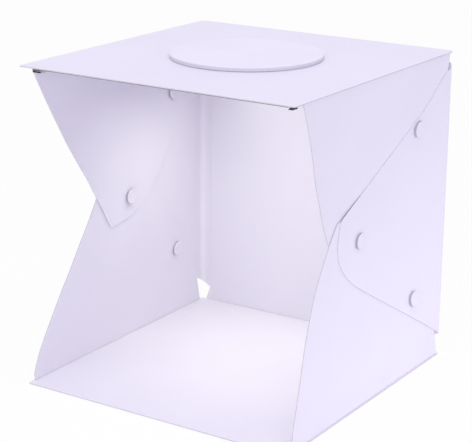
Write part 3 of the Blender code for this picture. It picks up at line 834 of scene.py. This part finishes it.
# The board's cut edge is near black: partly the board's own darker core, partly painted shade for
# the shadowed line under the strip.
board_edge_and_shade = Finish("cut board edge, partly painted shade")
board_edge_and_shade.mottle((0.16, 0.155, 0.15), (0.24, 0.235, 0.22), 1400, 3.0)
board_edge_and_shade.rough(board_edge_and_shade.noise(1500) * 0.2 + 0.5)
board_corners = [(board_low[0], board_low[1]), (board_high[0], board_low[1]),
                 (board_high[0], board_high[1]), (board_low[0], board_high[1])]
piece("strip_board", flat_plate(arc_corners(board_corners, STRIP_CORNER_RADIUS, 5), board_foot,
                                board_foot + BOARD_THICKNESS, 0.00012),
      board_look.material, "roof", ["led_board"], edge=board_edge_and_shade)

package_look = Finish("ivory LED package")
package_look.mottle((0.78, 0.76, 0.70), (0.85, 0.83, 0.78), 900)
package_look.rough(package_look.noise(2400) * 0.15 + 0.26)
package = block((LED_LENGTH, LED_WIDTH, LED_SHOWN_HEIGHT), LED_ROUNDING)
lowest = min(package.faces, key=lambda f: f.calc_center_median().z)
bmesh.ops.inset_individual(package, faces=[lowest], thickness=LED_RIM_WIDTH, depth=0)
bmesh.ops.inset_individual(package, faces=[lowest], thickness=LED_WINDOW_SLOPE,
                           depth=-LED_WINDOW_DEPTH)
led_height = board_foot - LED_SHOWN_HEIGHT / 2
in_row("led_packages", package, package_look.material, "roof", LED_COUNT,
       (first_led, board_middle, led_height + 0.00002), (led_pitch, 0, 0))

phosphor_look = Finish("yellow phosphor gel")
phosphor_look.mottle((0.80, 0.52, 0.05), (0.90, 0.66, 0.12), 2600, 3.0)
phosphor_look.rough(phosphor_look.noise(1500) * 0.2 + 0.2)
in_row("led_phosphor", block(PHOSPHOR_SIZE, 0.00005), phosphor_look.material, "roof",
       LED_COUNT, (first_led, board_middle, board_foot - LED_SHOWN_HEIGHT + 0.00018),
       (led_pitch, 0, 0))

resistor_look = Finish("black resistor glaze")
resistor_look.mottle((0.02, 0.02, 0.022), (0.05, 0.05, 0.055), 1200, low=0.4)
resistor_look.rough(resistor_look.noise(2200) * 0.2 + 0.2)
in_row("strip_resistors", block(RESISTOR_SIZE, 0.00008), resistor_look.material,
       "roof", LED_COUNT // 3,
       (first_led + led_pitch * 1.5, board_middle, board_foot - 0.00024), (led_pitch * 3, 0, 0))

solder_look = Finish("bright solder", metallic=1.0)
solder_look.mottle((0.55, 0.55, 0.54), (0.70, 0.70, 0.69), 1600)
solder_look.rough(solder_look.noise(2600) * 0.25 + 0.16)
for end, label in ((-1, "near"), (1, "far")):
    in_row(f"led_solder_{label}", block(SOLDER_SIZE, 0.00007), solder_look.material,
           "roof", LED_COUNT,
           (first_led + end * (LED_LENGTH / 2 + 0.0002), board_middle, board_foot - 0.00008),
           (led_pitch, 0, 0))

tape_look = Finish("white foam tape")
tape_look.mottle((0.68, 0.68, 0.66), (0.78, 0.78, 0.76), 1100, 3.0)
tape_look.rough(tape_look.noise(1600) * 0.15 + 0.62)
tape_look.bump(tape_look.noise(1900) * 0.6, 0.0001)
tape_corners = [(x + (TAPE_INSET if x < 0 else -TAPE_INSET), y) for x, y in board_corners]
piece("strip_tape", flat_plate(arc_corners(tape_corners, STRIP_CORNER_RADIUS, 5),
                               board_foot + BOARD_THICKNESS, ROOF_UNDERSIDE, 0.00005),
      tape_look.material, "roof", ["led_strip_tape"])


# USB socket: a stamped steel shell at the strip's left end, open to the front,
# with a grey tongue inside that carries five gold contacts.
shell_low, shell_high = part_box("usb_socket_shell")
SHELL_WALL = 0.0003
SHELL_CORNER = 0.0008
SHELL_LIP = 0.0003
TONGUE_ROUNDING = 0.00012
CONTACT_SIZE = (0.00032, 0.0030, 0.0001)
CONTACT_COUNT = 5
CONTACT_PITCH = 0.00065


def stamped_shell():
    """The shell: a rounded tube, closed behind, with a lip turned out in front."""
    bm = bmesh.new()

    def ring(inset, y):
        corners = [(shell_low[0] + inset, shell_low[2] + inset),
                   (shell_high[0] - inset, shell_low[2] + inset),
                   (shell_high[0] - inset, shell_high[2] - inset),
                   (shell_low[0] + inset, shell_high[2] - inset)]
        return [bm.verts.new((p.x, y, p.y))
                for p in arc_corners(corners, SHELL_CORNER - inset * 0.6, 6)]

    front, rear = shell_low[1], shell_high[1]
    rows = [ring(SHELL_LIP, rear), ring(SHELL_LIP * 0.7, rear - 0.0002),
            ring(SHELL_LIP * 0.7, front + 0.0006), ring(0.0, front + 0.0001),
            ring(0.0001, front), ring(SHELL_WALL, front + 0.0001),
            ring(SHELL_WALL + SHELL_LIP * 0.7, front + 0.0007),
            ring(SHELL_WALL + SHELL_LIP * 0.7, rear - SHELL_WALL)]
    for a, b in zip(rows, rows[1:]):
        for k in range(len(a)):
            n = (k + 1) % len(a)
            bm.faces.new([a[k], a[n], b[n], b[k]])
    bm.faces.new(rows[0])
    bm.faces.new(rows[-1])
    bmesh.ops.recalc_face_normals(bm, faces=bm.faces)
    return bm


shell_look = Finish("stamped steel", metallic=1.0)
brushed = shell_look.noise(1.0, 3.0, shell_look.stretched((500, 60, 2400)))
shell_look.colour(shell_look.mix((0.50, 0.50, 0.51), (0.66, 0.66, 0.67), brushed.rise(0.3, 0.7)))
shell_look.rough(brushed * 0.3 + 0.2)
shell_look.bump(brushed * 0.3, 0.00005)
piece("socket_shell", stamped_shell(), shell_look.material, "roof",
      ["usb_socket_shell"])

tongue_look = Finish("moulded grey")
tongue_look.mottle((0.30, 0.30, 0.31), (0.38, 0.38, 0.39), 700, 3.0)
tongue_look.rough(tongue_look.noise(1900) * 0.2 + 0.36)
tongue_low, tongue_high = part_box("usb_socket_tongue")
tongue_size = [h - l for l, h in zip(tongue_low, tongue_high)]
tongue_middle = [(l + h) / 2 for l, h in zip(tongue_low, tongue_high)]
piece("socket_tongue", moved(block(tongue_size, TONGUE_ROUNDING), tongue_middle),
      tongue_look.material, "roof", ["usb_socket_tongue"])

gold_look = Finish("gold contacts", metallic=1.0)
gold_look.mottle((0.72, 0.48, 0.16), (0.86, 0.62, 0.26), 1500)
gold_look.rough(gold_look.noise(2500) * 0.2 + 0.16)
in_row("socket_contacts", block(CONTACT_SIZE, 0.00003), gold_look.material,
       "roof", CONTACT_COUNT,
       (tongue_middle[0] - CONTACT_PITCH * (CONTACT_COUNT - 1) / 2, tongue_low[1] + 0.0018,
        tongue_low[2] - 0.00003), (CONTACT_PITCH, 0, 0))


# End clip: a small black moulded clip at the strip's right end. It reaches up to
# the roof and holds the board by a lip under it.
clip_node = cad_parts["led_strip_end_clip"]
CLIP_LENGTH_SHARE = 0.6
CLIP_ROUNDING = 0.00018


def softened(node, width):
    """A copy of a hard-edged solid, merged and with its edges rounded."""
    bm = bmesh.new()
    bm.from_mesh(node.data)
    bmesh.ops.remove_doubles(bm, verts=bm.verts, dist=1e-6)
    bmesh.ops.dissolve_limit(bm, angle_limit=math.radians(1), verts=bm.verts, edges=bm.edges)
    bmesh.ops.bevel(bm, geom=bm.edges[:], offset=width, segments=3, profile=0.5, affect="EDGES")
    bmesh.ops.recalc_face_normals(bm, faces=bm.faces)
    return bm


black_look = Finish("moulded black")
black_look.mottle((0.022, 0.022, 0.026), (0.045, 0.045, 0.050), 600, 3.0)
black_look.rough(black_look.noise(1900) * 0.2 + 0.34)
black_look.bump(black_look.noise(2100) * 0.5, 0.00008)
clip = softened(clip_node, CLIP_ROUNDING)
clip_end_x = max(v.co.x for v in clip.verts)
for v in clip.verts:
    v.co.x = clip_end_x - (clip_end_x - v.co.x) * CLIP_LENGTH_SHARE
piece("end_clip", clip, black_look.material, "roof", ["led_strip_end_clip"])


# Stage: a wide pale floor under the tent, lit evenly by the room.
# It shows white to the camera and keeps a soft shadow.
STAGE_REACH = 4.0
STAGE_Z = -0.0001
STAGE_GLOW = 0.92
stage_mesh = bpy.data.meshes.new("studio_floor")
stage_mesh.from_pydata([(-STAGE_REACH, -STAGE_REACH, STAGE_Z), (STAGE_REACH, -STAGE_REACH, STAGE_Z),
                        (STAGE_REACH, STAGE_REACH, STAGE_Z), (-STAGE_REACH, STAGE_REACH, STAGE_Z)],
                       [], [(0, 1, 2, 3)])
stage = bpy.data.objects.new("studio_floor", stage_mesh)
bpy.context.collection.objects.link(stage)
stage_look = Finish("studio floor")
stage_look.colour((0.92, 0.92, 0.93))
stage_look.rough(0.9)
glow = stage_look.node("ShaderNodeEmission", {}, {"Color": (1.0, 1.0, 1.0), "Strength": 1.0})
rays = stage_look.nodes.new("ShaderNodeLightPath")
seen = Shade(stage_look, rays.outputs["Is Camera Ray"])
for kind in ("Is Glossy Ray", "Is Transmission Ray"):
    seen = seen.work("MAXIMUM", seen, Shade(stage_look, rays.outputs[kind]))
mixed = stage_look.node("ShaderNodeMixShader", {}, {0: seen * STAGE_GLOW})
mixer = mixed.socket.node
stage_look.links.new(stage_look.shader.outputs[0], mixer.inputs[1])
stage_look.links.new(glow.socket, mixer.inputs[2])
output = next(n for n in stage_look.nodes if n.type == "OUTPUT_MATERIAL")
stage_look.links.new(mixer.outputs[0], output.inputs["Surface"])
stage_mesh.materials.append(stage_look.material)


# Room and lamps: a white room with a broad lamp above and one in front, a weak one
# low on the right, and a weak one under the roof for the light that the sheet lets in.
ROOM_LIGHT = 0.84
ROOM_COLOUR = (0.905, 0.87, 1.0)
world = bpy.data.worlds.new("white room")
bpy.context.scene.world = world
world.use_nodes = True
room = world.node_tree
for node in list(room.nodes):
    room.nodes.remove(node)
paths = room.nodes.new("ShaderNodeLightPath")
shown = paths.outputs["Is Camera Ray"]
for kind in ("Is Glossy Ray", "Is Transmission Ray"):
    either = room.nodes.new("ShaderNodeMath")
    either.operation = "MAXIMUM"
    room.links.new(shown, either.inputs[0])
    room.links.new(paths.outputs[kind], either.inputs[1])
    shown = either.outputs[0]
tinted = room.nodes.new("ShaderNodeMix")
tinted.data_type = "RGBA"
tinted.inputs[6].default_value = (*(ROOM_LIGHT * share for share in ROOM_COLOUR), 1.0)
tinted.inputs[7].default_value = (1.0, 1.0, 1.0, 1.0)
room.links.new(shown, tinted.inputs[0])
sky = room.nodes.new("ShaderNodeBackground")
room.links.new(tinted.outputs[2], sky.inputs["Color"])
room_output = room.nodes.new("ShaderNodeOutputWorld")
room.links.new(sky.outputs[0], room_output.inputs["Surface"])

LAMP_TARGET = Vector((0.0, 0.0, 0.12))
RIGHT_LAMP_TARGET = Vector((0.113, 0.06, -0.03))
TENT_LAMP_PLACE = (0.0, 0.04, 0.228)
TENT_LAMP_TARGET = Vector((0.0, 0.03, 0.0))
# Each lamp's name, place, target, size in metres, power in watts, spread in degrees and colour.
lamps = [
    ("overhead lamp", (0.3, -0.3, 2.0), LAMP_TARGET, 1.4, 8.0, 180, (0.97, 0.94, 1.0)),
    ("front lamp", (0.8, -1.7, 0.5), LAMP_TARGET, 1.4, 7.5, 180, (1.0, 1.0, 0.88)),
    ("right lamp", (1.0, 0.45, 0.12), RIGHT_LAMP_TARGET, 0.3, 0.08, 30, (1.0, 0.98, 1.0)),
    ("lamp in the tent", TENT_LAMP_PLACE, TENT_LAMP_TARGET, 0.15, 0.128, 114, (1.0, 1.0, 0.82)),
]
for label, place, target, size, power, spread, colour in lamps:
    lamp = bpy.data.lights.new(label, "AREA")
    lamp.size = size
    lamp.energy = power
    lamp.spread = math.radians(spread)
    lamp.color = colour
    holder = bpy.data.objects.new(label, lamp)
    bpy.context.collection.objects.link(holder)
    holder.location = place
    holder.rotation_euler = (target - Vector(place)).to_track_quat("-Z", "Y").to_euler()
    holder.visible_camera = False
    holder.visible_glossy = False


# Camera: a long lens, a little over a metre away, to the right of the opening and
# slightly above the roof.
CAMERA_TARGET = Vector((-0.0046, 0.0, 0.1163))
CAMERA_DISTANCE = 1.1813
CAMERA_AZIMUTH = 0.5736
CAMERA_ELEVATION = 0.2954
CAMERA_ROLL = 0.0095
CAMERA_LENS = 120.98
away = Vector((math.sin(CAMERA_AZIMUTH) * math.cos(CAMERA_ELEVATION),
               -math.cos(CAMERA_AZIMUTH) * math.cos(CAMERA_ELEVATION),
               math.sin(CAMERA_ELEVATION)))
level_right = Vector((0, 0, 1)).cross(away).normalized()
level_up = away.cross(level_right)
right = level_right * math.cos(CAMERA_ROLL) + level_up * math.sin(CAMERA_ROLL)
up = away.cross(right)
camera_data = bpy.data.cameras.new("camera")
camera_data.sensor_fit = "HORIZONTAL"
camera_data.sensor_width = 36.0
camera_data.lens = CAMERA_LENS
camera_data.clip_start = 0.01
camera = bpy.data.objects.new("camera", camera_data)
bpy.context.collection.objects.link(camera)
axes = Matrix((right, up, away)).transposed().to_4x4()
camera.matrix_world = Matrix.Translation(CAMERA_TARGET + away * CAMERA_DISTANCE) @ axes
bpy.context.scene.camera = camera
bpy.context.scene.view_settings.view_transform = "Standard"
